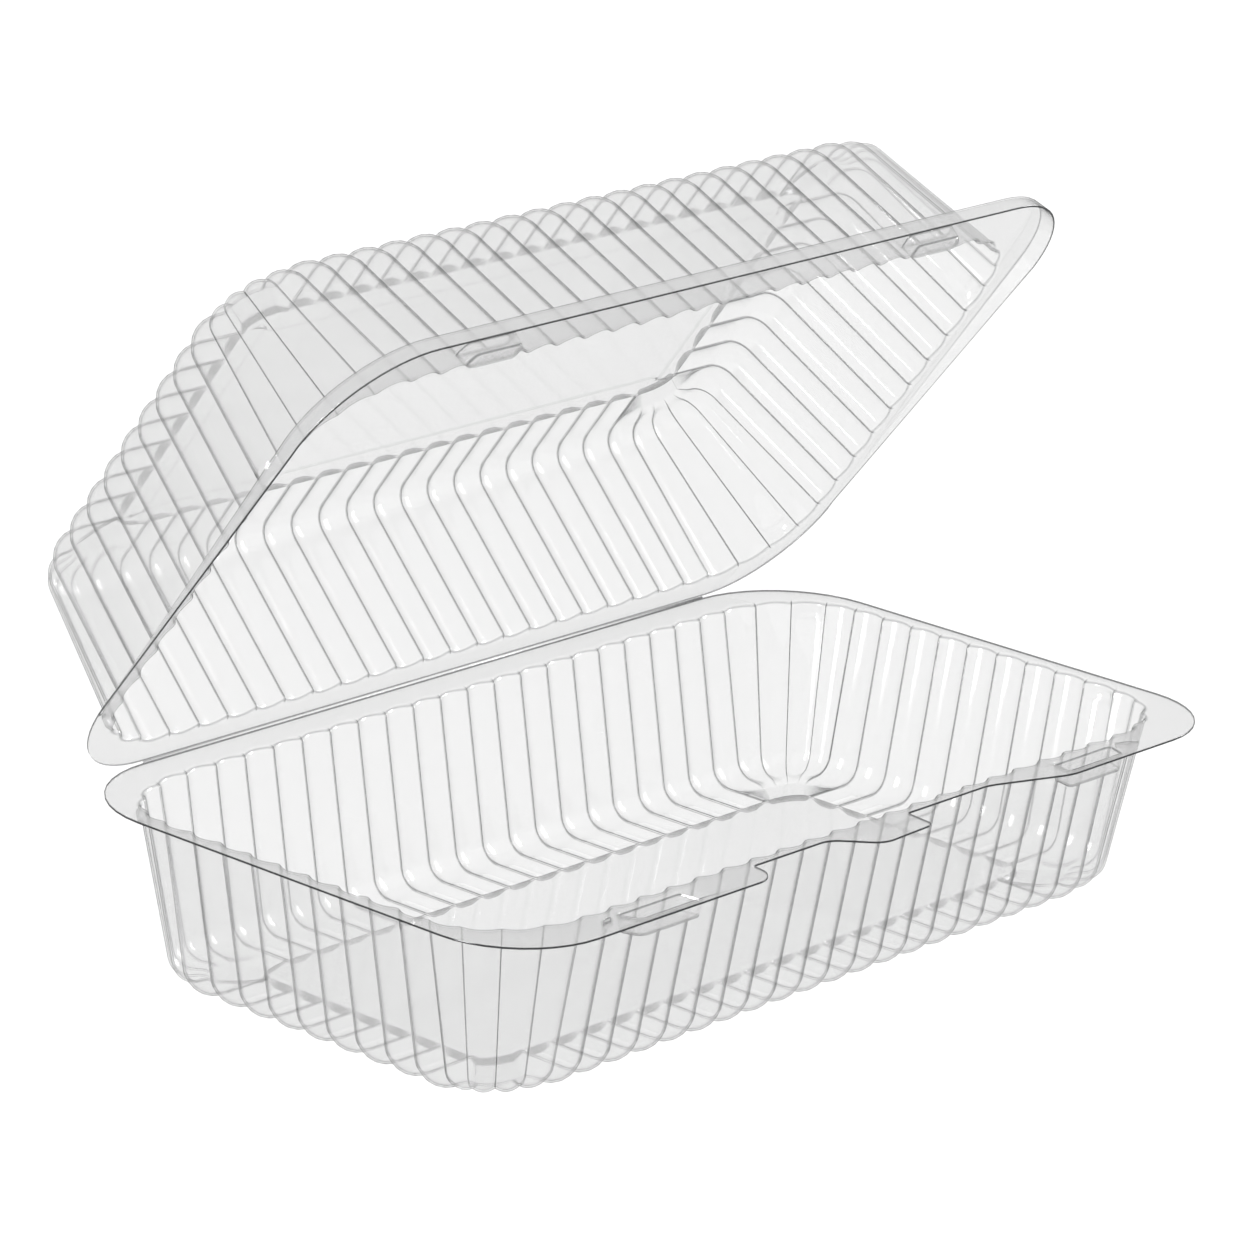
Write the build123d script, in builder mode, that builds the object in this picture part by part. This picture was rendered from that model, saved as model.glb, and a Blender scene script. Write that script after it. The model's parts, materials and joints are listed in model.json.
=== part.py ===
"""Clear hinged clamshell container.

A fluted tray and a matching fluted lid, thermoformed from one thin clear sheet and joined along the
rear flange by a folded hinge line.  Both halves share one cup: straight flutes run down the walls,
round a soft bend and inward along the bottom, where each ends in a leaf-shaped step up to a flat
panel.  The tray flange has two front lobes with snap pockets and a thumb tab; the lid flange has two
snap buttons and a turned-down skirt.  The lid stands open at its natural rest angle.

Millimetres, +Z up, the tray rests on its feet at Z = 0, the hinge is at the rear (+Y), and the origin
is under the centre of the whole open container.
"""

import os
from math import atan2, cos, degrees, radians, sin, sqrt, tan

from build123d import *

os.makedirs("parts", exist_ok=True)

# ---- driving dimensions -------------------------------------------------------------------------
SHEET = 0.4             # thickness of the formed sheet

PITCH = 8.8             # width of one flute, crease to crease
LONG_FLUTES = 20        # flutes on the front and on the rear wall
SHORT_FLUTES = 9        # flutes on each side wall
CORNER_FLUTES = 4       # flutes round each corner
CORNER_X = 25.1         # rim corner ellipse, semi-axis along X
CORNER_Y = 19.5         # rim corner ellipse, semi-axis along Y
FLUTE_RISE = 1.8        # how far a flute bows out from its creases

PANEL_DEPTH = 39.8      # rim to the flat panel
DRAFT = 10.4            # slope of the walls, degrees from upright
BEND_RADIUS = 5.0       # bend between wall and bottom, along a crease
BEND_STEPS = 3          # straight strips that round the bend
PANEL_INSET = 24.0      # rim to the edge of the flat panel, seen from above
STEP_SLOPE = 0.8        # how far each leaf-shaped step leans
STEP_RUN = 6.0          # last stretch of a flute before its step
CORNER_RUN = 15.5       # how far the corner flutes reach in before they melt into the corner pad
PAD_DROP = 1.45         # flat panel down to the corner pads
FOOT_DROP = 1.6         # flat panel down to the flattened feet

HINGE_RADIUS = 0.35     # rolled bead of the hinge line
HINGE_CLEAR = 0.1       # bead to the edge of the lid flange
RIM_GAP = 0.3           # between the two flanges when closed
TRAY_SHORE = 10.2       # tray rim creases to the hinge axis
LID_SHORE = 8.7         # lid rim creases to the hinge axis
LID_OPEN = 53.6         # angle between the flanges as the container stands, degrees

FLANGE_SIDE = 5.2       # tray rim creases to the side edge of the flange
REAR_CORNER = 27.0      # rear corner radius of the flanges
FRONT_CORNER = 23.0     # front corner radius of the tray flange
LOBE_DEPTH = 11.7       # tray rim creases to the front edge of a lobe
WAIST_DEPTH = 4.0       # tray rim creases to the flange edge between the lobes
LOBE_START = 39.2       # from the middle to where each lobe begins
LOBE_HOOK = 3.0         # run of the left lobe's steep end
LOBE_RAMP = 20.0        # run of the right lobe's gentle end
TAB_WIDTH = 24.6        # thumb tab where it leaves the flange
TAB_TIP = 17.6          # thumb tab at its tip
TAB_DEPTH = 13.2        # tray rim creases to the tip of the tab
HOOK_TOP_ROUND = 2.5    # corner roundings of the tray's front edge
HOOK_FOOT_ROUND = 1.2
TAB_LEFT_ROUND = 4.0
TAB_TIP_ROUND = 2.5
TAB_RIGHT_ROUND = 1.0
RAMP_ROUND = 14.0

POCKET_LENGTH = 19.4    # snap pocket, along X
POCKET_WIDTH = 7.4
POCKET_DEPTH = 4.6      # flange top to the underside of the pocket
POCKET_X = 74.0         # from the middle to each pocket
POCKET_EDGE = 1.4       # flange front edge to the pocket
POCKET_TAPER = 6.0      # degrees
SNAP_CLEAR = 0.35       # button to pocket wall
SNAP_DEPTH_CLEAR = 0.5  # button to pocket floor

SKIRT_DEPTH = 3.8       # turned-down edge of the lid
SKIRT_FLARE = 1.0       # how far it leans out
SKIRT_SIDE_CLEAR = 0.5  # tray flange to the lid skirt, at the sides
SKIRT_FRONT_CLEAR = 2.2 # tray lobes to the lid skirt, at the front
LID_CORNER = 26.0       # front corner radius of the lid flange
SKIRT_START = 30.0      # hinge axis to where the skirt begins
SKIRT_FULL = 62.0       # hinge axis to where the skirt has its full depth

LUG_WIDTH = 6.6         # stacking lugs at the top of the walls
LUG_HEIGHT = 4.2
LUG_REACH = 0.9         # beyond the crest of a flute
LUG_FLUTE = 2.5         # middle of the corner flute that has a lug, counted from the rear wall

# ---- sizes worked out from them -----------------------------------------------------------------
HALF_ROW = LONG_FLUTES * PITCH / 2
HALF_END = SHORT_FLUTES * PITCH / 2
HALF_LENGTH = HALF_ROW + CORNER_X
HALF_WIDTH = HALF_END + CORNER_Y
OVERRUN = 1.0           # how far a cutting solid passes the face it opens

flute_radius = (PITCH**2 / 4 + FLUTE_RISE**2) / (2 * FLUTE_RISE)
inner_radius = flute_radius - SHEET
INNER_RISE = inner_radius - sqrt(inner_radius**2 - PITCH**2 / 4)
CREASE_INSET = INNER_RISE + SHEET - FLUTE_RISE

HINGE_Y = HALF_WIDTH + TRAY_SHORE
LID_CENTRE = HINGE_Y + LID_SHORE + HALF_WIDTH
FLANGE_TOP = -RIM_GAP / 2
FLANGE_X = HALF_LENGTH + FLANGE_SIDE
LID_X = FLANGE_X + SKIRT_SIDE_CLEAR + SHEET
LOBE_Y = HALF_WIDTH + LOBE_DEPTH
WAIST_Y = HALF_WIDTH + WAIST_DEPTH
TAB_Y = HALF_WIDTH + TAB_DEPTH
LID_BACK = HINGE_Y + HINGE_RADIUS + HINGE_CLEAR
LID_FRONT = 2 * HINGE_Y + LOBE_Y + SKIRT_FRONT_CLEAR + SHEET
POCKET_Y = LOBE_Y - POCKET_EDGE - POCKET_WIDTH / 2
BUTTON_Y = 2 * HINGE_Y + POCKET_Y
BUTTON_HEIGHT = RIM_GAP + POCKET_DEPTH - SHEET - SNAP_DEPTH_CLEAR
FOOT_LEVEL = -PANEL_DEPTH - FOOT_DROP


# ---- the fluted cup -----------------------------------------------------------------------------
def crease_rows():
    """Every crease once round the rim, anticlockwise: kind, quadrant signs, and place or corner angle."""
    quarter = 90 / CORNER_FLUTES
    turns = [quarter * k for k in range(CORNER_FLUTES + 1)]
    rise = [PITCH * k - HALF_END for k in range(1, SHORT_FLUTES)]
    run = [PITCH * k - HALF_ROW for k in range(1, LONG_FLUTES)]
    rows = [("end", 1, 1, y) for y in rise]
    rows += [("corner", 1, 1, turn) for turn in reversed(turns)]
    rows += [("row", 1, 1, x) for x in reversed(run)]
    rows += [("corner", -1, 1, turn) for turn in turns]
    rows += [("end", -1, 1, y) for y in reversed(rise)]
    rows += [("corner", -1, -1, turn) for turn in reversed(turns)]
    rows += [("row", 1, -1, x) for x in run]
    rows += [("corner", 1, -1, turn) for turn in turns]
    return rows


def crease_point(crease, inset, z):
    """A point of a crease, a distance in from the rim as seen from above."""
    kind, side_x, side_y, place = crease
    if kind == "end":
        return Vector(side_x * (HALF_LENGTH - inset), place, z)
    if kind == "row":
        return Vector(place, side_y * (HALF_WIDTH - inset), z)
    turn = radians(place)
    return Vector(
        side_x * (HALF_ROW + (CORNER_X - inset) * sin(turn)),
        side_y * (HALF_END + (CORNER_Y - inset) * cos(turn)),
        z,
    )


def crease_outward(crease):
    """The level direction that a crease faces."""
    kind, side_x, side_y, place = crease
    if kind == "end":
        return Vector(side_x, 0, 0)
    if kind == "row":
        return Vector(0, side_y, 0)
    return Vector(side_x * sin(radians(place)), side_y * cos(radians(place)), 0)


def panel_corner(crease, grow, z):
    """A point on the flat panel's rounded corner, grown outward, for one of the corner creases."""
    _, side_x, side_y, place = crease
    spread = 90 / (CORNER_FLUTES + 2)
    turn = radians(spread * (1 + place * CORNER_FLUTES / 90))
    reach_x = CORNER_X + PITCH - PANEL_INSET + grow
    reach_y = CORNER_Y + PITCH - PANEL_INSET + grow
    return Vector(
        side_x * (HALF_ROW - PITCH + reach_x * sin(turn)),
        side_y * (HALF_END - PITCH + reach_y * cos(turn)),
        z,
    )


def bend_stations():
    """Inset, height and facing angle of a crease from the foot of the wall to the end of the bend."""
    turn = 90 - DRAFT
    tangent = BEND_RADIUS * tan(radians(turn / 2))
    inset = PANEL_DEPTH * tan(radians(DRAFT)) - tangent * sin(radians(DRAFT))
    centre_inset = inset + BEND_RADIUS * cos(radians(DRAFT))
    centre_z = -PANEL_DEPTH + BEND_RADIUS
    angles = [DRAFT + turn * k / BEND_STEPS for k in range(BEND_STEPS + 1)]
    return [
        (centre_inset - BEND_RADIUS * cos(radians(a)), centre_z - BEND_RADIUS * sin(radians(a)), a)
        for a in angles
    ]


def flute_ring(points, facings, rise):
    """One closed ring of arcs through the crease points; rise is the bow of a full-width flute."""
    count = len(points)
    ring = []
    with BuildLine(mode=Mode.PRIVATE):
        for k in range(count):
            start, end = points[k], points[(k + 1) % count]
            bow_start, bow_end = facings[k], facings[(k + 1) % count]
            if bow_start is None or bow_end is None:
                ring.append(Line(start, end).edge())
                continue
            middle = (start + end) * 0.5
            outward = (bow_start + bow_end).normalized()
            bow = rise * (end - start).length / PITCH
            ring.append(ThreePointArc(start, middle + outward * bow, end).edge())
    return ring


def cup(rise, crease_inset, thickness, start_z):
    """A solid with the cup's form, from start_z down, set in by a sheet's thickness."""
    creases = crease_rows()
    down = Vector(0, 0, -1)
    slope = tan(radians(DRAFT))
    rings = []

    level = [crease_outward(c) for c in creases]
    rim_inset = -start_z * slope + crease_inset / cos(radians(DRAFT))
    rings.append(flute_ring([crease_point(c, rim_inset, start_z) for c in creases], level, rise))

    for inset, z, angle in bend_stations():
        lean, drop = cos(radians(angle)), sin(radians(angle))
        facings = [out * lean + down * drop for out in level]
        points = [
            crease_point(c, inset, z) - face * crease_inset for c, face in zip(creases, facings)
        ]
        rings.append(flute_ring(points, facings, rise))

    crease_z = -PANEL_DEPTH + crease_inset
    pad_z = -PANEL_DEPTH - PAD_DROP + thickness
    panel_z = -PANEL_DEPTH + thickness
    in_corner = [c[0] == "corner" for c in creases]
    facings = [None if corner else down for corner in in_corner]
    run_end = PANEL_INSET - STEP_SLOPE - thickness
    rings.append(flute_ring(
        [
            crease_point(c, CORNER_RUN, pad_z) if corner
            else crease_point(c, PANEL_INSET - STEP_RUN, crease_z)
            for c, corner in zip(creases, in_corner)
        ],
        facings, rise,
    ))
    rings.append(flute_ring(
        [
            panel_corner(c, STEP_SLOPE + thickness, pad_z) if corner
            else crease_point(c, run_end, crease_z)
            for c, corner in zip(creases, in_corner)
        ],
        facings, rise,
    ))
    rings.append(flute_ring(
        [
            panel_corner(c, thickness, panel_z) if corner
            else crease_point(c, PANEL_INSET - thickness, panel_z)
            for c, corner in zip(creases, in_corner)
        ],
        [None] * len(creases), rise,
    ))

    # Most rings are not flat, so no sketch can hold them: the strips between them are ruled faces.
    faces = [Face(Wire(rings[0])), Face(Wire(rings[-1]))]
    for upper, lower in zip(rings, rings[1:]):
        faces += [Face.make_surface_from_curves(a, b) for a, b in zip(upper, lower)]
    return Solid(Shell(faces))


def flattened(body, floor):
    """The same solid with everything below a level cut off, which flattens the feet."""
    return split(body, bisect_by=Plane.XY.offset(floor), keep=Keep.TOP)


outer_cup = flattened(cup(FLUTE_RISE, 0, 0, 0), FOOT_LEVEL)
inner_cup = flattened(cup(INNER_RISE, CREASE_INSET, SHEET, OVERRUN), FOOT_LEVEL + SHEET)


def lug_places(rear_side):
    """Where a cup's four stacking lugs stand: two on the hinge-side corners, two at the far ends."""
    turn = radians(90 * LUG_FLUTE / CORNER_FLUTES)
    corner_x = HALF_ROW + CORNER_X * sin(turn)
    corner_y = HALF_END + CORNER_Y * cos(turn)
    corner_turn = degrees(atan2(cos(turn), sin(turn)))
    end_y = -HALF_END + PITCH / 2
    places = [
        Location((corner_x, corner_y, 0), (0, 0, corner_turn)),
        Location((-corner_x, corner_y, 0), (0, 0, 180 - corner_turn)),
        Location((HALF_LENGTH, end_y, 0), (0, 0, 0)),
        Location((-HALF_LENGTH, end_y, 0), (0, 0, 180)),
    ]
    return [place if rear_side > 0 else Rot(0, 0, 180) * place for place in places]


def cup_walls(centre_y, rear_side):
    """The outside of one cup with its lugs; rear_side is 1 where the hinge is at +Y, -1 at -Y."""
    with BuildPart() as walls:
        add(Pos(0, centre_y, FLANGE_TOP) * outer_cup)
        reach = FLUTE_RISE + LUG_REACH
        for place in lug_places(rear_side):
            with Locations(Pos(0, centre_y, FLANGE_TOP) * place):
                Box(reach, LUG_WIDTH, LUG_HEIGHT, align=(Align.MIN, Align.CENTER, Align.MAX))
    return walls.part


def cup_hollow(centre_y, rear_side):
    """The inside of one cup with the hollows of its lugs, open at the top."""
    with BuildPart() as hollow:
        add(Pos(0, centre_y, FLANGE_TOP) * inner_cup)
        reach = FLUTE_RISE + LUG_REACH - SHEET + OVERRUN
        depth = LUG_HEIGHT - SHEET + OVERRUN
        for place in lug_places(rear_side):
            with Locations(Pos(0, centre_y, FLANGE_TOP + OVERRUN) * place * Pos(-OVERRUN, 0, 0)):
                Box(reach, LUG_WIDTH - 2 * SHEET, depth, align=(Align.MIN, Align.CENTER, Align.MAX))
    return hollow.part


def snap(length, width, height, level, upward):
    """A tapered block for a pocket or a button, one at each side of the middle."""
    with BuildPart() as block:
        with BuildSketch(Plane.XY.offset(level)):
            SlotOverall(length, width)
        extrude(amount=height if upward else -height, taper=POCKET_TAPER)
    return block.part


def pair(block, y):
    """Two copies of a snap block, left and right."""
    return [Pos(side * POCKET_X, y, 0) * block for side in (-1, 1)]


# ---- tray ---------------------------------------------------------------------------------------
with BuildPart() as tray_flat:
    with BuildSketch(Plane.XY.offset(FLANGE_TOP - SHEET)):
        with BuildLine():
            FilletPolyline(
                (FLANGE_X, HINGE_Y),
                (-FLANGE_X, HINGE_Y),
                (-FLANGE_X, -LOBE_Y),
                (-LOBE_START - LOBE_HOOK, -LOBE_Y),
                (-LOBE_START, -WAIST_Y),
                (-TAB_WIDTH / 2, -WAIST_Y),
                (-TAB_TIP / 2, -TAB_Y),
                (TAB_TIP / 2, -TAB_Y),
                (TAB_WIDTH / 2, -WAIST_Y),
                (LOBE_START, -WAIST_Y),
                (LOBE_START + LOBE_RAMP, -LOBE_Y),
                (FLANGE_X, -LOBE_Y),
                radius=[
                    REAR_CORNER, REAR_CORNER, FRONT_CORNER, HOOK_TOP_ROUND, HOOK_FOOT_ROUND,
                    TAB_LEFT_ROUND, TAB_TIP_ROUND, TAB_TIP_ROUND, TAB_RIGHT_ROUND, RAMP_ROUND,
                    RAMP_ROUND, FRONT_CORNER,
                ],
                close=True,
            )
        make_face()
    extrude(amount=SHEET)
    with Locations((0, HINGE_Y, 0)):
        Cylinder(HINGE_RADIUS, 2 * (FLANGE_X - REAR_CORNER), rotation=(0, 90, 0))
    pocket = snap(POCKET_LENGTH, POCKET_WIDTH, POCKET_DEPTH - SHEET / 2, FLANGE_TOP - SHEET / 2, False)
    add(pair(pocket, -POCKET_Y))
    add(cup_walls(0, 1))
    add(cup_hollow(0, 1), mode=Mode.SUBTRACT)
    hollow = snap(
        POCKET_LENGTH - 2 * SHEET, POCKET_WIDTH - 2 * SHEET, POCKET_DEPTH - SHEET, FLANGE_TOP, False
    )
    add(pair(hollow, -POCKET_Y), mode=Mode.SUBTRACT)

# ---- lid, made lying flat behind the tray, as the sheet comes off its mould ---------------------
with BuildPart() as skirt:
    for inset, mode in ((0, Mode.ADD), (SHEET, Mode.SUBTRACT)):
        with BuildSketch(Plane.XY.offset(FLANGE_TOP - SHEET)):
            with BuildLine():
                FilletPolyline(
                    (LID_X - inset, LID_BACK + inset),
                    (-LID_X + inset, LID_BACK + inset),
                    (-LID_X + inset, LID_FRONT - inset),
                    (LID_X - inset, LID_FRONT - inset),
                    radius=[REAR_CORNER - inset] * 2 + [LID_CORNER - inset] * 2,
                    close=True,
                )
            make_face()
        flare = degrees(atan2(SKIRT_FLARE, SKIRT_DEPTH))
        extrude(amount=SKIRT_DEPTH + SHEET, taper=-flare, mode=mode)
    slope = degrees(atan2(SKIRT_DEPTH, SKIRT_FULL - SKIRT_START))
    start = Plane((0, HINGE_Y + SKIRT_START, FLANGE_TOP)).rotated((slope, 0, 0))
    split(bisect_by=start, keep=Keep.BOTTOM)

with BuildPart() as lid_flat:
    with BuildSketch(Plane.XY.offset(FLANGE_TOP - SHEET)):
        with BuildLine():
            FilletPolyline(
                (LID_X, LID_BACK),
                (-LID_X, LID_BACK),
                (-LID_X, LID_FRONT),
                (LID_X, LID_FRONT),
                radius=[REAR_CORNER] * 2 + [LID_CORNER] * 2,
                close=True,
            )
        make_face()
    extrude(amount=SHEET)
    add(skirt.part)
    button_length = POCKET_LENGTH - 2 * SHEET - 2 * SNAP_CLEAR
    button_width = POCKET_WIDTH - 2 * SHEET - 2 * SNAP_CLEAR
    button = snap(button_length, button_width, BUTTON_HEIGHT + SHEET / 2, FLANGE_TOP - SHEET / 2, True)
    add(pair(button, BUTTON_Y))
    add(cup_walls(LID_CENTRE, -1))
    add(cup_hollow(LID_CENTRE, -1), mode=Mode.SUBTRACT)
    hollow = snap(button_length - 2 * SHEET, button_width - 2 * SHEET, BUTTON_HEIGHT, FLANGE_TOP - SHEET, True)
    add(pair(hollow, BUTTON_Y), mode=Mode.SUBTRACT)

# ---- open the lid to its rest angle and put the feet on the ground ------------------------------
hinge = Axis((0, HINGE_Y, 0), (1, 0, 0))
lid_open = lid_flat.part.rotate(hinge, 180 - LID_OPEN)
box = tray_flat.part.bounding_box().add(lid_open.bounding_box())
ground = Pos(0, -box.center().Y, -FLANGE_TOP - FOOT_LEVEL)

with BuildPart() as tray:
    add(ground * tray_flat.part)
with BuildPart() as lid:
    add(ground * lid_open)

tray.part.label = "tray"
lid.part.label = "lid"
export_step(tray.part, "parts/tray.step")
export_step(lid.part, "parts/lid.step")
print(f"hinge axis at y {HINGE_Y - box.center().Y:.4f}, z {-FLANGE_TOP - FOOT_LEVEL:.4f}")
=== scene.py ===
# %% [markdown]
# # A clear clamshell container
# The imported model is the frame: a tray, a lid and the hinge between them.  Everything made here
# sits in that frame, in metres, with +Z up, and the tray's feet on Z = 0.

# %% Load the frame
import json
from math import cos, pi, radians, sin, sqrt, tan

import bmesh
import bpy
from mathutils import Matrix, Vector


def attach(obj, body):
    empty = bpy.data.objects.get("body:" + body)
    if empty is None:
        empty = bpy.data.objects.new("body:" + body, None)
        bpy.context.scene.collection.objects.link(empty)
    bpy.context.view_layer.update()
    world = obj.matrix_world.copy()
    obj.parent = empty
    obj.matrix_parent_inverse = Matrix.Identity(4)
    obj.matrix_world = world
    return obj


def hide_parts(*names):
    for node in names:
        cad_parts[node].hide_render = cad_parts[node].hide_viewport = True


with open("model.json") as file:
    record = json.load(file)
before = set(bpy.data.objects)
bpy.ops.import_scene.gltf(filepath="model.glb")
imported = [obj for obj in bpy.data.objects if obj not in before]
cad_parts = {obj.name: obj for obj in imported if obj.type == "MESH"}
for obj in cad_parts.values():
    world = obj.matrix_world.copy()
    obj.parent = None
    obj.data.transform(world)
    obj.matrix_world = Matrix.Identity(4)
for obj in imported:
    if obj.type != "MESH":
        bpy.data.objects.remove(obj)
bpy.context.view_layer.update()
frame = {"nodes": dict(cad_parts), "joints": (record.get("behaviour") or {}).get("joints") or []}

# %% [markdown]
# ## Where the camera stands
# A long lens from a few paces away flattens the container the way a catalogue does.  The camera
# stands to the front left, a little above the table, and is tipped a touch clockwise.  Its place
# comes from the hinge, so it follows the model.

# %% Camera
hinge = Vector(frame["joints"][0]["pos_m"])
AIM_FROM_HINGE = Vector((0.0607, -0.0039, 0.0))
AZIMUTH, ELEVATION, ROLL = radians(-48.0), radians(17.92), radians(2.34)
DISTANCE, LENS = 1.505, 183.4       # metres, and millimetres on a 36 mm sensor

towards = Vector((sin(AZIMUTH) * cos(ELEVATION), -cos(AZIMUTH) * cos(ELEVATION), sin(ELEVATION)))
level_right = Vector((0, 0, 1)).cross(towards).normalized()
level_up = towards.cross(level_right)
right = level_right * cos(ROLL) + level_up * sin(ROLL)
up = level_up * cos(ROLL) - level_right * sin(ROLL)
place = Matrix((right, up, towards)).transposed().to_4x4()
place.translation = hinge + AIM_FROM_HINGE + towards * DISTANCE

camera_data = bpy.data.cameras.new("camera")
camera_data.lens = LENS
camera_data.sensor_width = 36
camera_data.clip_end = 50
camera = bpy.data.objects.new("camera", camera_data)
camera.matrix_world = place
bpy.context.scene.collection.objects.link(camera)
bpy.context.scene.camera = camera
print("camera at", [round(c, 3) for c in place.translation])

# %% [markdown]
# ## Room
# Clear plastic has no colour of its own: it shows what is behind it and mirrors what is bright.  So
# the room round it is an even white.  A ray may cross dozens of skins of film on its way through
# the flutes, so it is let through many times, while a few mirror images are enough.

# %% Room
ROOM_BRIGHTNESS = 1.13
scene = bpy.context.scene
scene.view_settings.view_transform = "Standard"
scene.cycles.transparent_max_bounces = 40
scene.cycles.max_bounces = 6
scene.cycles.glossy_bounces = 2
scene.cycles.diffuse_bounces = 2
room = bpy.data.worlds.new("room")
scene.world = room
room.use_nodes = True
background = room.node_tree.nodes["Background"].inputs
background["Color"].default_value = (1.0, 1.0, 1.0, 1)
background["Strength"].default_value = ROOM_BRIGHTNESS
print("room brightness", ROOM_BRIGHTNESS)

# %% [markdown]
# ## Floor
# The container stands on a plain white table, matt all over, so that nothing is mirrored in it and
# the film shows clean white behind every flute.

# %% Floor
def as_object(bm, name, *materials):
    """An object in the scene made from a finished bmesh, which is used up."""
    mesh = bpy.data.meshes.new(name)
    bm.to_mesh(mesh)
    bm.free()
    for material in materials:
        mesh.materials.append(material)
    made = bpy.data.objects.new(name, mesh)
    scene.collection.objects.link(made)
    return made


FLOOR_HALF = 12.0           # from the middle to each side, metres
paint = bpy.data.materials.new("floor_paint")
paint.use_nodes = True
principled = paint.node_tree.nodes["Principled BSDF"].inputs
principled["Base Color"].default_value = (0.97, 0.97, 0.97, 1)
principled["Roughness"].default_value = 0.9
principled["Specular IOR Level"].default_value = 0.0

bm = bmesh.new()
bmesh.ops.create_grid(bm, x_segments=1, y_segments=1, size=FLOOR_HALF)
floor = as_object(bm, "floor", paint)
print("floor", 2 * FLOOR_HALF, "metres wide")

# %% [markdown]
# ## Soft boxes
# One soft box stands at each side.  They are there to be mirrored: each gives long streaks down the
# flutes.  They do not light the table, so that it stays even.

# %% Soft boxes
BOX_AIM = Vector((0, 0, 0.05))


def soft_box(name, where, width, height, watts):
    """A rectangular area lamp at a place, turned to face the container."""
    data = bpy.data.lights.new(name, "AREA")
    data.shape = "RECTANGLE"
    data.size, data.size_y = width, height
    data.energy = watts
    data.use_shadow = False
    lamp = bpy.data.objects.new(name, data)
    turn = (Vector(where) - BOX_AIM).normalized().to_track_quat("Z", "Y")
    lamp.matrix_world = Matrix.Translation(where) @ turn.to_matrix().to_4x4()
    lamp.visible_diffuse = False
    scene.collection.objects.link(lamp)
    print(name, watts, "watts")


soft_box("right_box", (1.36, -0.47, 0.48), 0.4, 0.8, 18)
soft_box("left_box", (-1.35, 0.25, 0.55), 0.45, 1.1, 36)

# %% [markdown]
# ## Shader maths
# The plastic is worked out as a short sum, so a socket is wrapped in a small class that can be
# added and multiplied like a number.  A sum stops at 1, because it is a share of something.

# %% Shader maths
class Wire:
    """A socket that can be written in sums, so that a mask reads like the maths it is."""

    def __init__(self, tree, socket):
        self.tree, self.socket = tree, socket

    def maths(self, operation, other, clamp=False):
        node = self.tree.nodes.new("ShaderNodeMath")
        node.operation = operation
        node.use_clamp = clamp
        for slot, value in zip(node.inputs, (self, other)):
            plug(self.tree, slot, value)
        return Wire(self.tree, node.outputs[0])

    def __add__(self, other):
        return self.maths("ADD", other, clamp=True)

    def __mul__(self, other):
        return self.maths("MULTIPLY", other)

    __radd__, __rmul__ = __add__, __mul__

    def __pow__(self, other):
        return self.maths("POWER", other)


def plug(tree, slot, value):
    """Put a value on a socket, or link a Wire to it."""
    if isinstance(value, Wire):
        tree.links.new(value.socket, slot)
    else:
        slot.default_value = value


class Shader:
    """A material's node tree, with one way to add any node."""

    def __init__(self, name):
        self.material = bpy.data.materials.new(name)
        self.material.use_nodes = True
        self.tree = self.material.node_tree
        self.tree.nodes.clear()

    def node(self, kind, output=0, settings=(), sockets=(), **named):
        """A node: its settings, its numbered sockets and its named ones; gives one output."""
        made = self.tree.nodes.new("ShaderNode" + kind)
        for key, value in dict(settings).items():
            setattr(made, key, value)
        for slot, value in zip(made.inputs, sockets):
            plug(self.tree, slot, value)
        for key, value in named.items():
            plug(self.tree, made.inputs[key.replace("_", " ")], value)
        return Wire(self.tree, made.outputs[output]) if made.outputs else None


# %% [markdown]
# ## Clear sheet
# Thin clear plastic lets nearly all the light through and mirrors a little of it, more at a slant.
# Where the sheet folds tightly, or is seen exactly along its surface, real film bends the light away
# and looks dark; here that darkness is painted shade, a dark pass mixed into the sheet: those are
# the thin grey lines that draw the whole container.  Each point of the sheet carries two numbers for
# the painted shade in its own UV: how sharply it folds, and how much it is a slanted step.  A slow
# ripple in the surface breaks up the mirror streaks the way drawn plastic does.
# Real film casts a faint shadow.  It is left out here, so that the table stays white: shadow rays
# and the table's own light pass the sheet as if it were open air.

# %% Clear sheet
# Painted shade: how dark the creases, the slanted steps and the edge-on parts are painted.
FOLD_SHADE, STEP_SHADE = 0.82, 0.42
EDGE_POWER, EDGE_ON_SHADE = 8.0, 1.4
PAINTED_SHADE_TINT = (0.03, 0.033, 0.036, 1)
MILKINESS, MILK = 0.16, (0.82, 0.82, 0.82, 1)
MIRROR_POWER, MIRROR_SLANTED, MIRROR_HEAD_ON = 5.0, 0.22, 0.04
RIPPLE_SCALE, RIPPLE_STRENGTH, RIPPLE_HEIGHT = 45.0, 0.25, 0.0002
GLOSS_SHARP, GLOSS_SOFTENED = 0.02, 0.06


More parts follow.
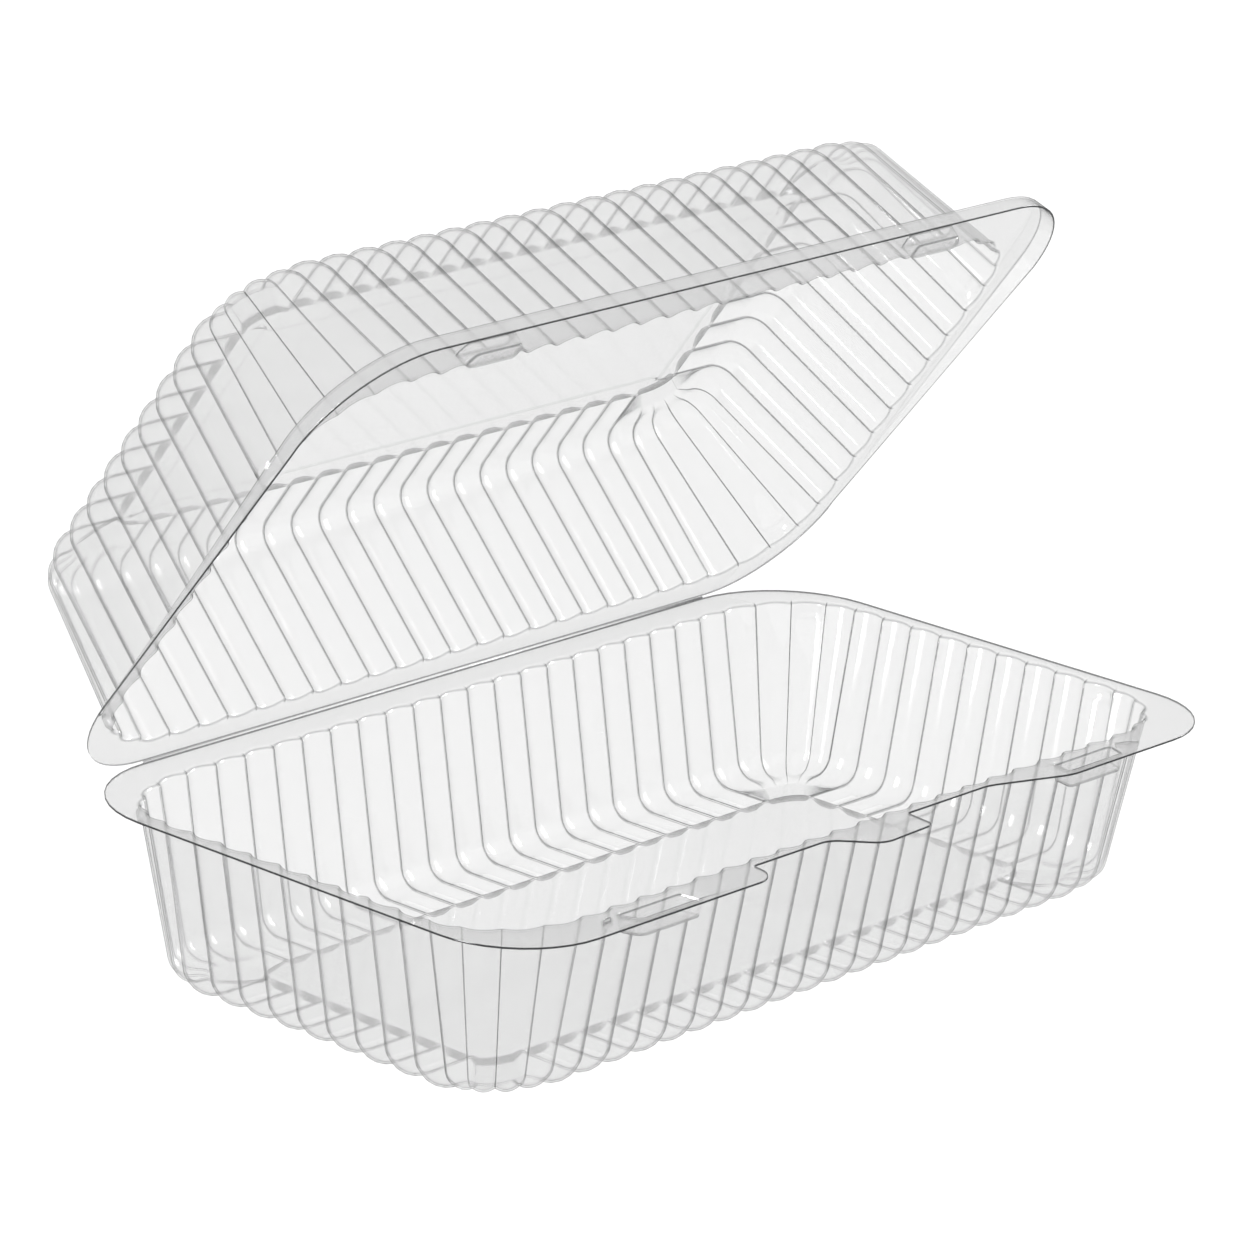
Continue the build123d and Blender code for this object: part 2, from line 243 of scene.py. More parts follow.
def clear_plastic(name, painted_base_shade, tint):
    """Clear plastic with painted shade; the base is painted shade everywhere on it, tint how much
    light one skin passes.
    """
    shader = Shader(name)
    shade_marks = shader.node("UVMap", settings={"uv_map": "shade_marks"})
    fold = shader.node("SeparateXYZ", output="X", Vector=shade_marks)
    step = shader.node("SeparateXYZ", output="Y", Vector=shade_marks)
    facing = shader.node("LayerWeight", output="Facing", Blend=0.5)
    edge_on = facing ** EDGE_POWER
    # Painted shade: the dark pass is mixed in at creases, at slanted steps and where the sheet is
    # seen edge-on.
    painted_shade = fold * FOLD_SHADE + step * STEP_SHADE + edge_on * EDGE_ON_SHADE + painted_base_shade

    milk = shader.node("BsdfDiffuse", Color=MILK)
    light_pass = shader.node("BsdfTransparent", Color=tint)
    painted_shade_pass = shader.node("BsdfTransparent", Color=PAINTED_SHADE_TINT)
    film = shader.node("MixShader", sockets=(MILKINESS, light_pass, milk))
    through = shader.node("MixShader", sockets=(painted_shade, film, painted_shade_pass))

    place = shader.node("TexCoord", output="Object")
    ripple = shader.node(
        "TexNoise", Vector=place, Scale=RIPPLE_SCALE, Detail=1.0, Roughness=0.5
    )
    normal = shader.node(
        "Bump", Strength=RIPPLE_STRENGTH, Distance=RIPPLE_HEIGHT, Height=ripple
    )
    blur = GLOSS_SHARP + GLOSS_SOFTENED * ripple
    gloss = shader.node("BsdfGlossy", Color=(1, 1, 1, 1), Roughness=blur, Normal=normal)
    mirror = facing ** MIRROR_POWER * MIRROR_SLANTED + MIRROR_HEAD_ON
    skin = shader.node("MixShader", sockets=(mirror, through, gloss))

    shadow_ray = shader.node("LightPath", output="Is Shadow Ray")
    diffuse_ray = shader.node("LightPath", output="Is Diffuse Ray")
    open_air = shader.node("BsdfTransparent", Color=(1, 1, 1, 1))
    airy = shader.node("MixShader", sockets=(shadow_ray + diffuse_ray, skin, open_air))
    shader.node("OutputMaterial", Surface=airy)
    return shader.material


clear_sheet = clear_plastic("clear_sheet", 0.0, (0.91, 0.91, 0.91, 1))
# The rim of the sheet is painted darker all over: painted shade along the cut edge.
cut_edge_painted_shade = clear_plastic("cut_edge_painted_shade", 0.7, (0.8, 0.802, 0.804, 1))
print("materials", clear_sheet.name, cut_edge_painted_shade.name)

# %% [markdown]
# ## Sizes
# Millimetres, in the flat frame of the newly made container: the tray in the middle, the hinge line
# behind it and the lid lying flat behind that, both cups hanging down from one level flange.

# %% Sizes of the cup
MM = 0.001
SHEET = 0.4                 # thickness
PITCH, FLUTE_RISE = 8.8, 1.8
LONG_FLUTES, SHORT_FLUTES, CORNER_FLUTES = 20, 9, 4
CORNER_X, CORNER_Y = 25.1, 19.5
PANEL_DEPTH, DRAFT, BEND_RADIUS = 39.8, radians(10.4), 5.0
PANEL_INSET, STEP_RUN = 24.0, 6.0
CORNER_RUN, PAD_DROP, FOOT_DROP = 15.5, 1.45, 1.6
FOLD_ROUND = 0.3            # rounding of the crease between two flutes
SHOULDER = 0.9              # rounding between the flange and a wall

HALF_ROW, HALF_END = LONG_FLUTES * PITCH / 2, SHORT_FLUTES * PITCH / 2
HALF_LENGTH, HALF_WIDTH = HALF_ROW + CORNER_X, HALF_END + CORNER_Y
flute_radius = (PITCH**2 / 4 + FLUTE_RISE**2) / (2 * FLUTE_RISE)
print("cup", 2 * HALF_LENGTH, "by", 2 * HALF_WIDTH, "mm, flute radius", round(flute_radius, 2))

# %% [markdown]
# The two flanges lie at one height.  Each outline stands out from its cup by its own amount: at the
# ends, at the front lobes, at the waist between them and at the thumb tab.

# %% Sizes of the flanges
TRAY_SHORE, LID_SHORE = 10.2, 8.7       # from the hinge line to each cup's rear wall
HINGE_Y = HALF_WIDTH + TRAY_SHORE
LID_CENTRE = HINGE_Y + LID_SHORE + HALF_WIDTH
FLANGE_TOP = -0.15
UNDERSIDE = FLANGE_TOP - SHEET
FLANGE_X, LID_X = HALF_LENGTH + 5.2, HALF_LENGTH + 6.1
LOBE_Y, WAIST_Y, TAB_Y = HALF_WIDTH + 11.7, HALF_WIDTH + 4.0, HALF_WIDTH + 13.2
LID_BACK, LID_FRONT = HINGE_Y + 0.45, 2 * HINGE_Y + LOBE_Y + 2.6
POCKET_Y = LOBE_Y - 5.1
print("hinge line at", HINGE_Y, "mm, lid front at", LID_FRONT)

# %% [markdown]
# ## Creases
# A crease is the line between two flutes.  Seventy-four of them go once round the cup: a fan of
# five round each corner and a straight row along each wall.  Every ring of the sheet is strung
# between them.

# %% Creases
def crease_rows():
    """Every crease once round, anticlockwise: kind, quadrant signs, and place or corner turn."""
    turns = [pi / 2 / CORNER_FLUTES * k for k in range(CORNER_FLUTES + 1)]
    rise = [PITCH * k - HALF_END for k in range(1, SHORT_FLUTES)]
    run = [PITCH * k - HALF_ROW for k in range(1, LONG_FLUTES)]
    rows = [("end", 1, 1, y) for y in rise]
    rows += [("corner", 1, 1, turn) for turn in reversed(turns)]
    rows += [("row", 1, 1, x) for x in reversed(run)]
    rows += [("corner", -1, 1, turn) for turn in turns]
    rows += [("end", -1, 1, y) for y in reversed(rise)]
    rows += [("corner", -1, -1, turn) for turn in reversed(turns)]
    rows += [("row", 1, -1, x) for x in run]
    rows += [("corner", 1, -1, turn) for turn in turns]
    return rows


def crease_point(crease, inset, z):
    """A point of a crease, a distance in from the rim as seen from above."""
    kind, side_x, side_y, place = crease
    if kind == "end":
        return Vector((side_x * (HALF_LENGTH - inset), place, z))
    if kind == "row":
        return Vector((place, side_y * (HALF_WIDTH - inset), z))
    x = HALF_ROW + (CORNER_X - inset) * sin(place)
    y = HALF_END + (CORNER_Y - inset) * cos(place)
    return Vector((side_x * x, side_y * y, z))


def crease_outward(crease):
    """The level direction that a crease faces."""
    kind, side_x, side_y, place = crease
    if kind == "end":
        return Vector((side_x, 0, 0))
    if kind == "row":
        return Vector((0, side_y, 0))
    return Vector((side_x * sin(place), side_y * cos(place), 0))


creases = crease_rows()
in_corner = [crease[0] == "corner" for crease in creases]
level = [crease_outward(crease) for crease in creases]
down = [Vector((0, 0, -1))] * len(creases)
print(len(creases), "creases,", sum(in_corner), "of them in the corners")

# %% [markdown]
# ## Drawing the sheet
# The sheet is made the way it is formed: it starts as a loop at the rim and is drawn down ring by
# ring, each ring's edges being extruded and moved to their new place.  When it is whole it gets its
# thickness, with painted shade, a darker material, on the rim along the trimmed edge.

# %% Drawing tools
class Sheet:
    """A sheet being drawn, in millimetres; each point knows how it folds and if it is a step, which
    set its painted shade.
    """

    def __init__(self):
        self.bm = bmesh.new()
        self.fold = self.bm.verts.layers.float.new("fold")
        self.step = self.bm.verts.layers.float.new("step")

    def mark(self, vert, fold, step):
        vert[self.fold], vert[self.step] = fold, step

    def loop(self, spots):
        """A closed loop of edges through (place, fold, step) spots."""
        verts = [self.bm.verts.new(place) for place, _, _ in spots]
        for vert, (_, fold, step) in zip(verts, spots):
            self.mark(vert, fold, step)
        for a, b in zip(verts, verts[1:] + verts[:1]):
            self.bm.edges.new((a, b))
        return verts

    def edges_of(self, verts):
        return [self.bm.edges.get((a, b)) for a, b in zip(verts, verts[1:] + verts[:1])]

    def draw(self, verts, spots):
        """Extrude a loop and move the new loop onto the spots."""
        made = bmesh.ops.extrude_edge_only(self.bm, edges=self.edges_of(verts))["geom"]
        fresh = {item for item in made if isinstance(item, bmesh.types.BMVert)}
        drawn = []
        for vert, (place, fold, step) in zip(verts, spots):
            ends = (edge.other_vert(vert) for edge in vert.link_edges)
            new = next(end for end in ends if end in fresh)
            new.co = place
            self.mark(new, fold, step)
            drawn.append(new)
        return drawn

    def fill(self, *loops):
        """Fill the level face inside one loop, or between an outer loop and those inside it."""
        edges = [edge for verts in loops for edge in self.edges_of(verts)]
        bmesh.ops.triangle_fill(self.bm, use_beauty=True, edges=edges)

    def finish(self, name, matrix, body):
        """Move the sheet into the frame, thicken it, and let it stand for its body's solid."""
        bmesh.ops.recalc_face_normals(self.bm, faces=self.bm.faces)
        lowest = min(self.bm.faces, key=lambda face: face.calc_center_median().z)
        if lowest.normal.z > 0:
            bmesh.ops.reverse_faces(self.bm, faces=self.bm.faces)
        bmesh.ops.transform(self.bm, matrix=matrix, verts=self.bm.verts)
        shade_marks = self.bm.loops.layers.uv.new("shade_marks")
        for face in self.bm.faces:
            face.smooth = True
            for corner in face.loops:
                corner[shade_marks].uv = (corner.vert[self.fold], corner.vert[self.step])
        piece = as_object(self.bm, name, clear_sheet, cut_edge_painted_shade)
        thickness = piece.modifiers.new("thickness", "SOLIDIFY")
        thickness.thickness, thickness.offset = SHEET * MM, -1
        # The rim faces take the second material, with its painted shade.
        thickness.material_offset_rim = 1
        even = piece.modifiers.new("even_shading", "WEIGHTED_NORMAL")
        even.keep_sharp = True
        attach(piece, body)
        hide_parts(body)
        print(name, len(piece.data.polygons), "faces before thickness")


# %% [markdown]
# ## A ring of flutes
# A point of a ring lies on the line between two creases and bows out from it along the arc of the
# flute.  The crease itself is a little rounded, as film never folds to a perfect corner, so a flute
# is sampled closest together beside it.  Some flutes bulge further just under the rim: those are
# the stacking lugs, which keep nested containers from jamming.

# %% Rings
from_crease = [0.0, 0.15, 0.6, 1.5, 2.9, PITCH / 2]
across = from_crease + [PITCH - d for d in reversed(from_crease[1:-1])]
LUG_WIDTH, LUG_HEIGHT, LUG_REACH, LUG_FLANK = 6.6, 4.2, 0.9, 0.5
FULL, FLAT = [1.0] * len(creases), [0.0] * len(creases)


def bow(d, offset):
    """How far a full-width flute stands out of its creases, d from the nearer one."""
    radius = flute_radius + offset
    half = PITCH / 2
    slope = half / sqrt(radius**2 - half**2)
    arc = sqrt(radius**2 - (half - d) ** 2) - (flute_radius - FLUTE_RISE)
    return arc + slope * (sqrt(d**2 + FOLD_ROUND**2) - d)


def lug_push(flute, d, depth, lugs):
    """The extra bulge of a stacking lug at the top of some flutes."""
    if flute not in lugs or depth > LUG_HEIGHT:
        return 0.0
    flank = min(max((d - (PITCH - LUG_WIDTH) / 2) / LUG_FLANK, 0.0), 1.0)
    return LUG_REACH * flank


def ring(points, facings, bows=FULL, folds=FULL, steps=FLAT, offset=0.0, depth=0.0, lugs=()):
    """The spots of one ring; bows, folds and steps hold one number for each crease."""
    spots = []
    for k in range(len(points)):
        n = (k + 1) % len(points)
        width = (points[n] - points[k]).length / PITCH
        rise = min(bows[k], bows[n])
        for i, run in enumerate(across):
            t, d = run / PITCH, min(run, PITCH - run)
            outward = facings[k].lerp(facings[n], t).normalized()
            reach = (bow(d, offset) - offset) * width * rise + offset + lug_push(k, d, depth, lugs)
            place = points[k].lerp(points[n], t) + outward * reach
            place.z = max(place.z, -PANEL_DEPTH - FOOT_DROP)
            step = steps[k] * (1 - t) + steps[n] * t
            if rise > 0:
                step *= min(bow(d, 0) / FLUTE_RISE, 1.0)
            spots.append((place, folds[k] if i == 0 else 0.0, step))
    return spots


def moved(move, spots):
    """The same spots, moved."""
    return [(place + move, fold, step) for place, fold, step in spots]


print(len(creases) * len(across), "points to a ring")

# %% [markdown]
# ## Shoulder, wall and bend
# Both halves hang the same cup from their flange.  It begins with a small shoulder, a quarter turn
# with a thin line of painted shade along it, then comes the tall fluted wall with the lugs in its top
# few millimetres, and the soft bend that turns the flutes to the bottom.

# %% Shoulder, wall and bend
RIM_SHADE_LINE = 0.3
# angle round the shoulder, strength of the painted shade on the creases there, strength of the
# painted shade line along the rim
SHOULDER_RINGS = [
    (pi / 2, 0.0, 0.0), (1.2, 1.0, 0.0), (0.8, 1.0, RIM_SHADE_LINE), (0.45, 1.0, 0.0), (DRAFT, 1.0, 0.0),
]
WALL_DEPTHS = [2.2, LUG_HEIGHT, LUG_HEIGHT + 0.45, 14.0, 25.0]
BEND_STEPS = 9
bend_tangent = BEND_RADIUS * tan((pi / 2 - DRAFT) / 2)
bend_inset = PANEL_DEPTH * tan(DRAFT) - bend_tangent * sin(DRAFT) + BEND_RADIUS * cos(DRAFT)


def draw_shoulder(sheet, move):
    """The turn from the flange into the wall; gives back its first and last loops."""
    centre_z = -SHEET - SHOULDER
    centre_out = SHOULDER * cos(DRAFT) + (centre_z + SHOULDER * sin(DRAFT)) * tan(DRAFT)
    loops = []
    for turn, crease_fold, rim_fold in SHOULDER_RINGS:
        out, z = centre_out - SHOULDER * cos(turn), centre_z + SHOULDER * sin(turn)
        points = [crease_point(crease, 0, z) for crease in creases]
        made = ring(points, level, folds=[crease_fold] * len(creases), offset=out)
        spots = [(place, max(fold, rim_fold), step) for place, fold, step in moved(move, made)]
        loops.append(sheet.draw(loops[-1], spots) if loops else sheet.loop(spots))
    return loops[0], loops[-1]


def draw_wall(sheet, verts, move, lugs):
    """The fluted wall and the bend under it; gives back its last loop."""
    for depth in WALL_DEPTHS:
        points = [crease_point(crease, depth * tan(DRAFT), -depth) for crease in creases]
        verts = sheet.draw(verts, moved(move, ring(points, level, depth=depth, lugs=lugs)))
    for k in range(BEND_STEPS + 1):
        turn = DRAFT + (pi / 2 - DRAFT) * k / BEND_STEPS
        inset = bend_inset - BEND_RADIUS * cos(turn)
        z = -PANEL_DEPTH + BEND_RADIUS * (1 - sin(turn))
        facings = [out * cos(turn) + under * sin(turn) for out, under in zip(level, down)]
        points = [crease_point(crease, inset, z) for crease in creases]
        verts = sheet.draw(verts, moved(move, ring(points, facings)))
    return verts


print("bend starts", round(PANEL_DEPTH - bend_tangent * cos(DRAFT), 2), "mm down")

# %% [markdown]
# ## Bottom and panel
# Past the bend the straight flutes run inward along the bottom and end at a step up to the flat
# panel.  In the corners they melt into a smooth pad instead, and the pad has its own step.  The
# container stands on the flutes and pads.  The lid's panel has a faint stepped border.

# %% Bottom and panel
RUN_SHARES = [0.3, 0.6, 0.85, 1.0]
MELT_POWER, FADE = 1.5, 3.2     # how a corner's flutes flatten, and how fast the painted shade on their creases fades
# outward from the panel's edge, share of the step's height, how much painted shade it gets as a step,
# strength of the painted shade on its creases
STEP_RINGS = [
    (1.2, 1.0, 0.0, 1.0), (0.95, 1.0, 1.0, 0.8), (0.5, 0.6, 1.0, 0.0), (0.12, 0.12, 1.0, 0.0),
    (-0.05, 0.0, 0.0, 0.0), (-0.8, 0.0, 0.0, 0.0),
]


def panel_corner(crease, grow, z):
    """A point on the flat panel's rounded corner, grown outward, for a corner crease."""
    _, side_x, side_y, place = crease
    turn = pi / 2 / (CORNER_FLUTES + 2) * (1 + place * CORNER_FLUTES / (pi / 2))
    x = HALF_ROW - PITCH + (CORNER_X + PITCH - PANEL_INSET + grow) * sin(turn)
    y = HALF_END - PITCH + (CORNER_Y + PITCH - PANEL_INSET + grow) * cos(turn)
    return Vector((side_x * x, side_y * y, z))


def panel_points(grow, pad_z, flute_z):
    """Points round the panel's edge, grown outward; pads and flutes have their own heights."""
    return [
        panel_corner(crease, grow, pad_z) if melts
        else crease_point(crease, PANEL_INSET - grow, flute_z)
        for crease, melts in zip(creases, in_corner)
    ]


def draw_bottom(sheet, verts, move):
    """The run inward and the step up to the panel; gives back its last loop."""
    for t in RUN_SHARES:
        melted = bend_inset + (CORNER_RUN - bend_inset) * t
        straight = bend_inset + (PANEL_INSET - STEP_RUN - bend_inset) * t
        points = [
            crease_point(crease, melted, -PANEL_DEPTH - PAD_DROP * t * t) if melts
            else crease_point(crease, straight, -PANEL_DEPTH)
            for crease, melts in zip(creases, in_corner)
        ]
        bows = [1 - t**MELT_POWER if melts else 1.0 for melts in in_corner]
        folds = [min(1.0, FADE * (1 - t)) if melts else 1.0 for melts in in_corner]
        verts = sheet.draw(verts, moved(move, ring(points, down, bows, folds)))
    for grow, rise, step, fold in STEP_RINGS:
        points = panel_points(grow, -PANEL_DEPTH - PAD_DROP * rise, -PANEL_DEPTH)
        bows = [0.0 if melts else rise for melts in in_corner]
        folds = [0.0 if melts else fold for melts in in_corner]
        steps = [step] * len(creases)
        verts = sheet.draw(verts, moved(move, ring(points, down, bows, folds, steps)))
    return verts


def draw_cup(sheet, centre_y, lugs, border=()):
    """A whole cup, with border rings on its panel; gives back the loop in the flange."""
    move = Vector((0, centre_y, FLANGE_TOP))
    first, verts = draw_shoulder(sheet, move)
    verts = draw_wall(sheet, verts, move, lugs)
    verts = draw_bottom(sheet, verts, move)
    for inset, height, fold in border:
        points = panel_points(-inset, -PANEL_DEPTH + height, -PANEL_DEPTH + height)
        made = moved(move, ring(points, down, FLAT, FLAT))
        verts = sheet.draw(verts, [(place, fold, 0.0) for place, _, _ in made])
    sheet.fill(verts)
    return first


print(len(RUN_SHARES) + len(STEP_RINGS), "rings from the bend to the panel")

# %% [markdown]
# ## Flange outlines
# A flange's outline is a polygon with rounded corners, lying in the underside of the sheet, because
# the thickness is added upward from there.

# %% Outlines
at_underside = Vector((0, 0, UNDERSIDE))


def rounded(corners, steps=10):
    """A closed outline through (x, y, radius) corners, as a list of places."""
    outline = []
    count = len(corners)
    for k in range(count):
        here = Vector(corners[k][:2])
        back = (Vector(corners[k - 1][:2]) - here).normalized()
        ahead = (Vector(corners[(k + 1) % count][:2]) - here).normalized()
        half = back.angle(ahead) / 2
        radius = corners[k][2]
        centre = here + (back + ahead).normalized() * (radius / sin(half))
        start = here + back * (radius / tan(half)) - centre
        end = here + ahead * (radius / tan(half)) - centre
        for i in range(steps + 1):
            place = centre + start.slerp(end, i / steps) * radius
            outline.append(place.to_3d() + at_underside)
    return outline


def outward_of(outline):
    """The level outward direction at each place of an anticlockwise outline."""
    count = len(outline)
    directions = []
    for k in range(count):
        along = (outline[(k + 1) % count] - outline[k - 1]).normalized()
        directions.append(Vector((along.y, -along.x, 0)))
    return directions


print("flange underside at", UNDERSIDE, "mm")

# %% [markdown]
# ## Snaps
# The snaps are small wells in the flange.  On the tray they sink below it as pockets; on the lid
# they stand up from it as buttons, which drop into the pockets when the container shuts.  The
# buttons are kept slim, so that two thick sheets pass each other.  Beside each pocket there is a
# shallow petal.

# %% Snaps
# share of the outline, share of the depth, and whether the well has a line of painted shade there
WELL_RINGS = [
    (0.975, 0.06, 0), (0.96, 0.12, 1), (0.95, 0.2, 0), (0.905, 0.8, 0), (0.89, 0.9, 1),
    (0.875, 0.96, 0), (0.8, 1.0, 0),
]


def well(sheet, outline, height, fold):
    """A tapered well from the flange to a height; gives back its top loop."""
    middle = sum(outline, Vector()) / len(outline)
    first = verts = sheet.loop([(place, 0.0, 0.0) for place in outline])
    for share, rise, folds_here in WELL_RINGS:
        lift = Vector((0, 0, height * rise))
        spots = [
            (middle + (place - middle) * share + lift, fold * folds_here, 0.0)
            for place in outline
        ]
        verts = sheet.draw(verts, spots)
    sheet.fill(verts)
    return first


def snap_outline(corners, side, middle_y):
    """A snap's outline at one side of the middle, from corners given for the right-hand side."""
    placed = [(side * x, middle_y + y, radius) for x, y, radius in corners]
    return rounded(placed[::side], steps=5)


def petal_outline(x, y, length, width, turn, steps=8):
    """A pointed oval."""
    outline = []
    for side in (1, -1):
        for k in range(steps):
            t = k / steps
            along = side * (0.5 - t) * length
            off = side * sin(pi * t) * width / 2
            across_x = along * cos(turn) - off * sin(turn)
            across_y = along * sin(turn) + off * cos(turn)
            outline.append(Vector((x + across_x, y + across_y, UNDERSIDE)))
    return outline


print(len(WELL_RINGS), "rings to a well")

# %% [markdown]
# ## Tray
# The tray's flange is widest at the hinge and at two front lobes, which carry the snap pockets.
# Between them it narrows to a waist with a thumb tab.  The left lobe ends in a small hook and the
# right one in a long ramp.

# %% Tray flange
REAR_ROUND, FRONT_ROUND = 27.0, 23.0    # the outline's corners are x, y, rounding
HOOK_TOP, HOOK_FOOT = -39.4, -39.0
TAB_LEFT_FOOT, TAB_LEFT_TIP, TAB_RIGHT_TIP, TAB_RIGHT_FOOT = -14.5, -6.5, 10.5, 11.6
TAB_SLANT = 0.8             # how much less the tab reaches out at its right tip
RAMP_FOOT, RAMP_TOP = 39.2, 59.2
tray_outline = rounded([
    (FLANGE_X, HINGE_Y, REAR_ROUND), (-FLANGE_X, HINGE_Y, REAR_ROUND),
    (-FLANGE_X, -LOBE_Y, FRONT_ROUND), (HOOK_TOP, -LOBE_Y, 6.2), (HOOK_FOOT, -WAIST_Y, 1.0),
    (TAB_LEFT_FOOT, -WAIST_Y, 6.0), (TAB_LEFT_TIP, -TAB_Y, 6.0),
    (TAB_RIGHT_TIP, -TAB_Y + TAB_SLANT, 2.4), (TAB_RIGHT_FOOT, -WAIST_Y, 0.8),
    (RAMP_FOOT, -WAIST_Y, 14.0), (RAMP_TOP, -LOBE_Y, 14.0), (FLANGE_X, -LOBE_Y, FRONT_ROUND),
])
TRIM_SHADE_BAND, TRIM_SHADE_LINE = 0.3, 0.9     # the trimmed edge is painted darker: painted shade over a narrow band along it
tray_sheet = Sheet()
edge = tray_sheet.loop([
    (place - direction * TRIM_SHADE_BAND, 0.0, 0.0)
    for place, direction in zip(tray_outline, outward_of(tray_outline))
])
tray_sheet.draw(edge, [(place, TRIM_SHADE_LINE, 0.0) for place in tray_outline])
print("tray outline has", len(tray_outline), "places")

# %% [markdown]
# The cup is drawn down from the flange, the pockets and petals are sunk beside it, and the flange
# is filled between them all.

# %% Tray pockets, petals and cup
# corners: x, y from the pocket's middle, rounding
POCKET_CORNERS = [(83.0, 3.2, 1.6), (80.5, -3.3, 2.6), (60.3, -3.3, 0.9), (61.5, 3.2, 1.2)]
# The snap and petal lines are painted shade round their wells.
POCKET_DEPTH, SNAP_SHADE_LINE = 4.6, 0.6
PETAL_X, PETAL_SHIFT, PETAL_LENGTH, PETAL_WIDTH, PETAL_TURN = 86.2, 1.0, 6.4, 2.4, 0.5
PETAL_DEPTH, PETAL_SHADE_LINE = 1.0, 0.8
TRAY_LUGS = (9, 34, 44, 73)     # flutes, counted anticlockwise from the front of the right end

opening = draw_cup(tray_sheet, 0, TRAY_LUGS)
wells = []
for side in (-1, 1):
    pocket = snap_outline(POCKET_CORNERS, side, -POCKET_Y)
    wells.append(well(tray_sheet, pocket, SHEET - POCKET_DEPTH, SNAP_SHADE_LINE))
    petal = petal_outline(
        side * PETAL_X, -POCKET_Y + PETAL_SHIFT, PETAL_LENGTH, PETAL_WIDTH, -side * PETAL_TURN
    )
    wells.append(well(tray_sheet, petal, -PETAL_DEPTH, PETAL_SHADE_LINE))
tray_sheet.fill(edge, opening, *wells)
in_frame = Matrix.Translation(hinge) @ Matrix.Scale(MM, 4) @ Matrix.Translation((0, -HINGE_Y, 0))
tray_sheet.finish("tray_sheet", in_frame, "tray")

# %% [markdown]
# ## Hinge
# The two halves are one sheet, folded along a fine rolled line behind the tray.  The bead is the
# part of it that stays with the tray.

# %% Hinge bead
BEAD_RADIUS = 0.35
bm = bmesh.new()
bmesh.ops.create_cone(
    bm, cap_ends=True, segments=12, radius1=BEAD_RADIUS, radius2=BEAD_RADIUS,
    depth=2 * (FLANGE_X - REAR_ROUND), matrix=Matrix.Rotation(pi / 2, 4, "Y"),
)
bmesh.ops.transform(bm, matrix=Matrix.Translation(hinge) @ Matrix.Scale(MM, 4), verts=bm.verts)
shade_marks = bm.loops.layers.uv.new("shade_marks")
for face in bm.faces:
    face.smooth = len(face.verts) == 4
    for corner in face.loops:
        corner[shade_marks].uv = (0.0, 0.0)
bead = as_object(bm, "hinge_bead", clear_sheet)
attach(bead, "tray")
print("hinge bead at", [round(c, 4) for c in hinge])

# %% [markdown]
# ## Lid
# The lid is the same cup with a different flange: it carries the two snap buttons, and its edge is
# turned to a skirt that closes round the tray's flange when the container is shut.  The skirt dies
# away towards the hinge.

# %% Lid flange and skirt
SKIRT_DEPTH, SKIRT_FLARE, SKIRT_START, SKIRT_FULL = 3.8, 1.0, 30.0, 62.0
FOLD_IN = 0.9               # radius of the turn into the skirt
SKIRT_EASE = 0.1            # taken off the flare at the skirt's edge
LID_REAR_ROUND, LID_FRONT_ROUND = 26.1, 25.1
# place of each ring, of which the first three go round the turn, and the strength of its painted
# shade line
SKIRT_RINGS = [(1, 0.0), (2, 0.45), (3, 0.0), (4, 0.0), (5.75, 0.0), (6, TRIM_SHADE_LINE)]
TURN_END, SKIRT_END = 3, 6


def skirt_share(y):
    """How much of the skirt there is at a distance behind the hinge."""
    t = min(max((y - HINGE_Y - SKIRT_START) / (SKIRT_FULL - SKIRT_START), 0.0), 1.0)
    return t * t * (3 - 2 * t)


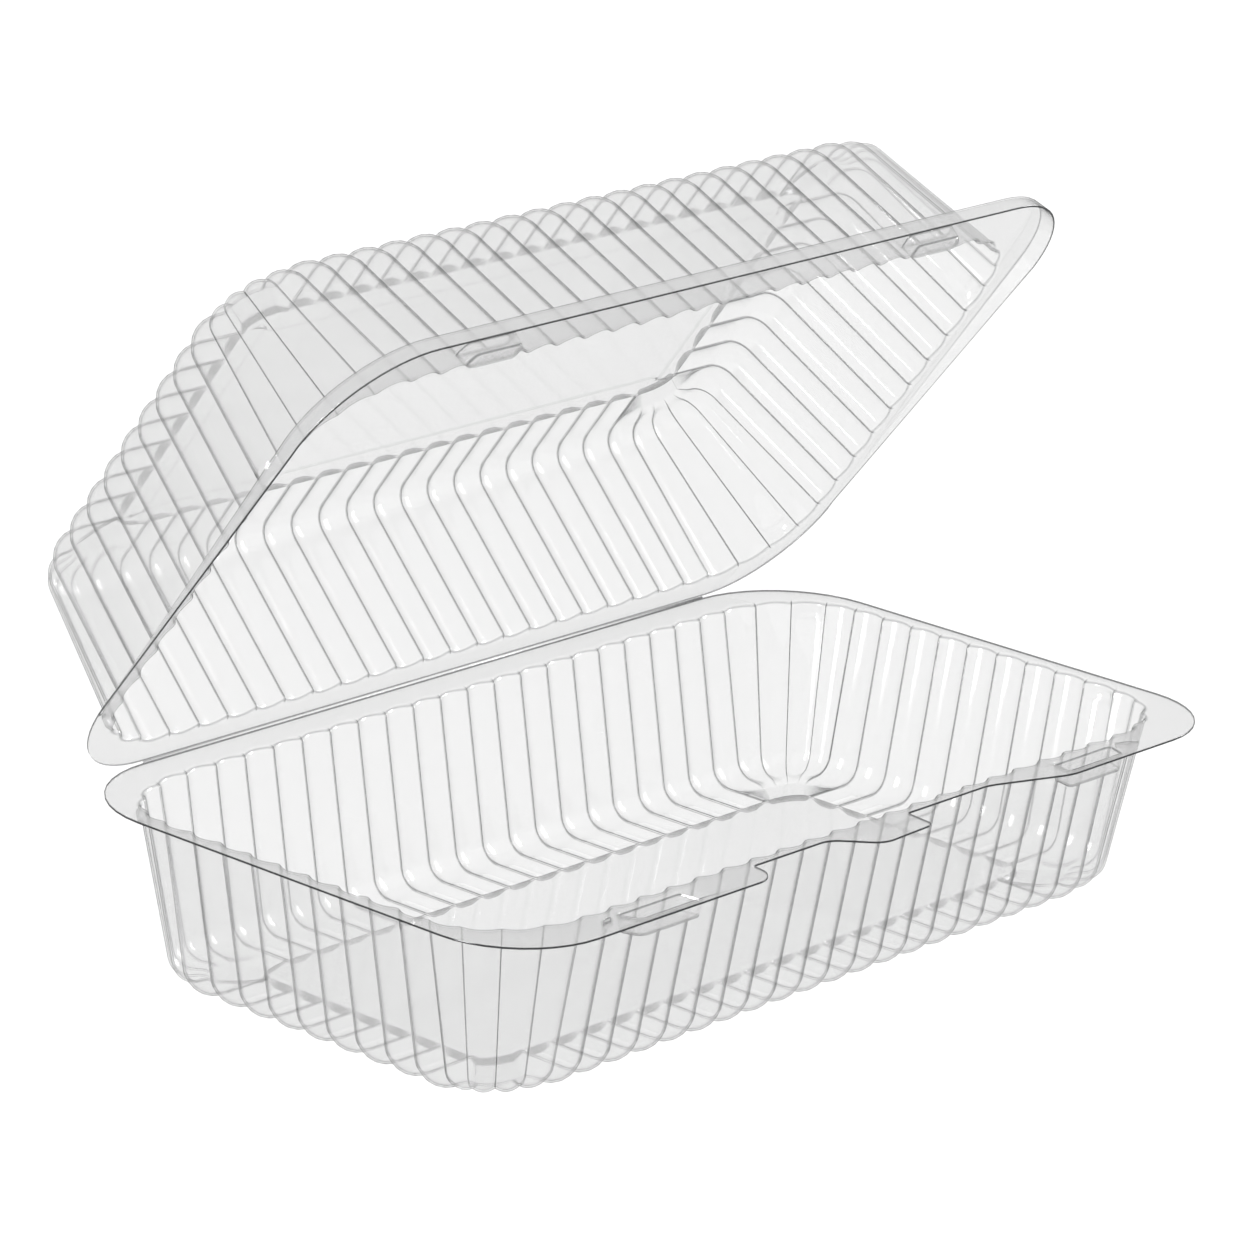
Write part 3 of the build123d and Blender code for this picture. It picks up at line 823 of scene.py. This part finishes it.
side_x, back_y, front_y = LID_X - FOLD_IN, LID_BACK + FOLD_IN, LID_FRONT - FOLD_IN
lid_outline = rounded([
    (side_x, back_y, LID_REAR_ROUND), (side_x, front_y, LID_FRONT_ROUND),
    (-side_x, front_y, LID_FRONT_ROUND), (-side_x, back_y, LID_REAR_ROUND),
], steps=16)
lid_sheet = Sheet()
outward = outward_of(lid_outline)
edge = verts = lid_sheet.loop([(place, 0.0, 0.0) for place in lid_outline])
fold_turn = pi / 2 - SKIRT_FLARE / SKIRT_DEPTH
for k, line in SKIRT_RINGS:
    turn = fold_turn * min(k, TURN_END) / TURN_END
    out, rise = FOLD_IN * sin(turn), FOLD_IN * (1 - cos(turn))
    if k > TURN_END:
        skirt_run = (k - TURN_END) / (SKIRT_END - TURN_END)
        out += (SKIRT_FLARE - SKIRT_EASE) * skirt_run
        rise += (SKIRT_DEPTH + SHEET - rise) * skirt_run
    spots = []
    for place, direction in zip(lid_outline, outward):
        share = skirt_share(place.y)
        reach = FOLD_IN * k / SKIRT_END * (1 - share) + out * share
        spot = place + direction * reach + Vector((0, 0, rise * share))
        spots.append((spot, line * share, 0.0))
    verts = lid_sheet.draw(verts, spots)
print("skirt reaches", round(rise, 2), "mm past the flange")

# %% [markdown]
# The lid is made lying flat, like the tray, and then swung up to where it rests.

# %% Lid buttons, cup and swing
# corners: x, y from the button's middle, rounding
BUTTON_CORNERS = [(63.6, -1.85, 1.0), (63.2, 1.8, 0.8), (78.4, 1.8, 1.5), (80.4, -1.85, 1.2)]
BUTTON_HEIGHT = 4.0
LID_LUGS = (46, 71, 7, 36)
# in from the panel's edge, height, strength of its painted shade line
LID_BORDER = [(5.6, 0.0, 0.0), (5.9, 0.08, 0.22), (6.2, 0.1, 0.0)]
LID_OPEN = 53.6             # angle between the flanges as the container stands, degrees

opening = draw_cup(lid_sheet, LID_CENTRE, LID_LUGS, LID_BORDER)
wells = []
for side in (-1, 1):
    button = snap_outline(BUTTON_CORNERS, side, 2 * HINGE_Y + POCKET_Y)
    wells.append(well(lid_sheet, button, BUTTON_HEIGHT, SNAP_SHADE_LINE))
lid_sheet.fill(edge, opening, *wells)
to_hinge = Matrix.Translation((0, HINGE_Y, 0))
swing = to_hinge @ Matrix.Rotation(radians(180 - LID_OPEN), 4, "X") @ to_hinge.inverted()
lid_sheet.finish("lid_sheet", in_frame @ swing, "lid")

# %% [markdown]
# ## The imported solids
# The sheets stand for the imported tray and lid, which are not shown with them.  The solids are given
# the same plastic all the same, so that they never turn up bare.

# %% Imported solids
for node in frame["nodes"].values():
    node.data.materials.clear()
    node.data.materials.append(clear_sheet)
print(len(frame["nodes"]), "packed solids in", clear_sheet.name)
